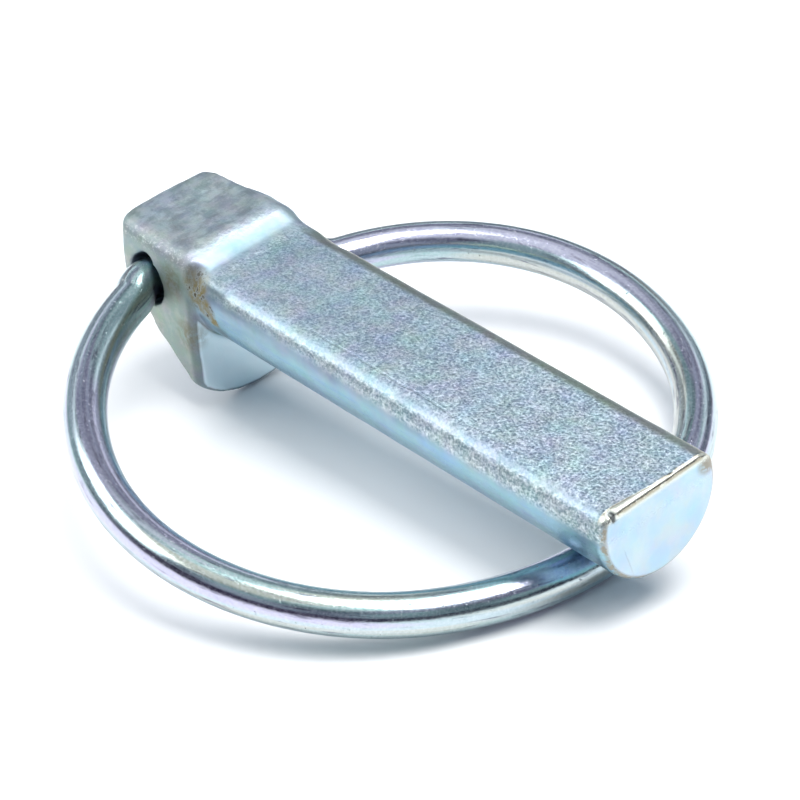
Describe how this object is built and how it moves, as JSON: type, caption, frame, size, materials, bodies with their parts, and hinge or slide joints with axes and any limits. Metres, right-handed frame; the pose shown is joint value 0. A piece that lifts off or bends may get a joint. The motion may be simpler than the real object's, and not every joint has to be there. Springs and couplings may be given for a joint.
{
  "type": "linch pin",
  "caption": "Forged linch pin with a D-shaped shank, a stepped head and a sprung wire ring that turns in a slanted hole and closes round the tip.",
  "frame": {"origin": "on the shank's axis, at the plane of the head's shoulder", "axes": "+X along the shank to its tip, +Z out of the shank's flat, +Y across the flat"},
  "size_m": [0.0497, 0.0448, 0.013],
  "materials": {
    "forged_zinc": "rough forged steel, blue-white zinc plated",
    "spring_zinc": "smooth drawn spring wire, bright zinc plated"
  },
  "bodies": {
    "pin": {"pin": "forged_zinc"},
    "ring": {"ring": "spring_zinc"}
  },
  "joints": [
    {"name": "ring_swing", "type": "hinge", "parent": "pin", "child": "ring", "pos_m": [-0.005, 0, -0.0015], "axis": [0.0891, 0.9938, -0.0668], "range_deg": [0, 344]}
  ]
}
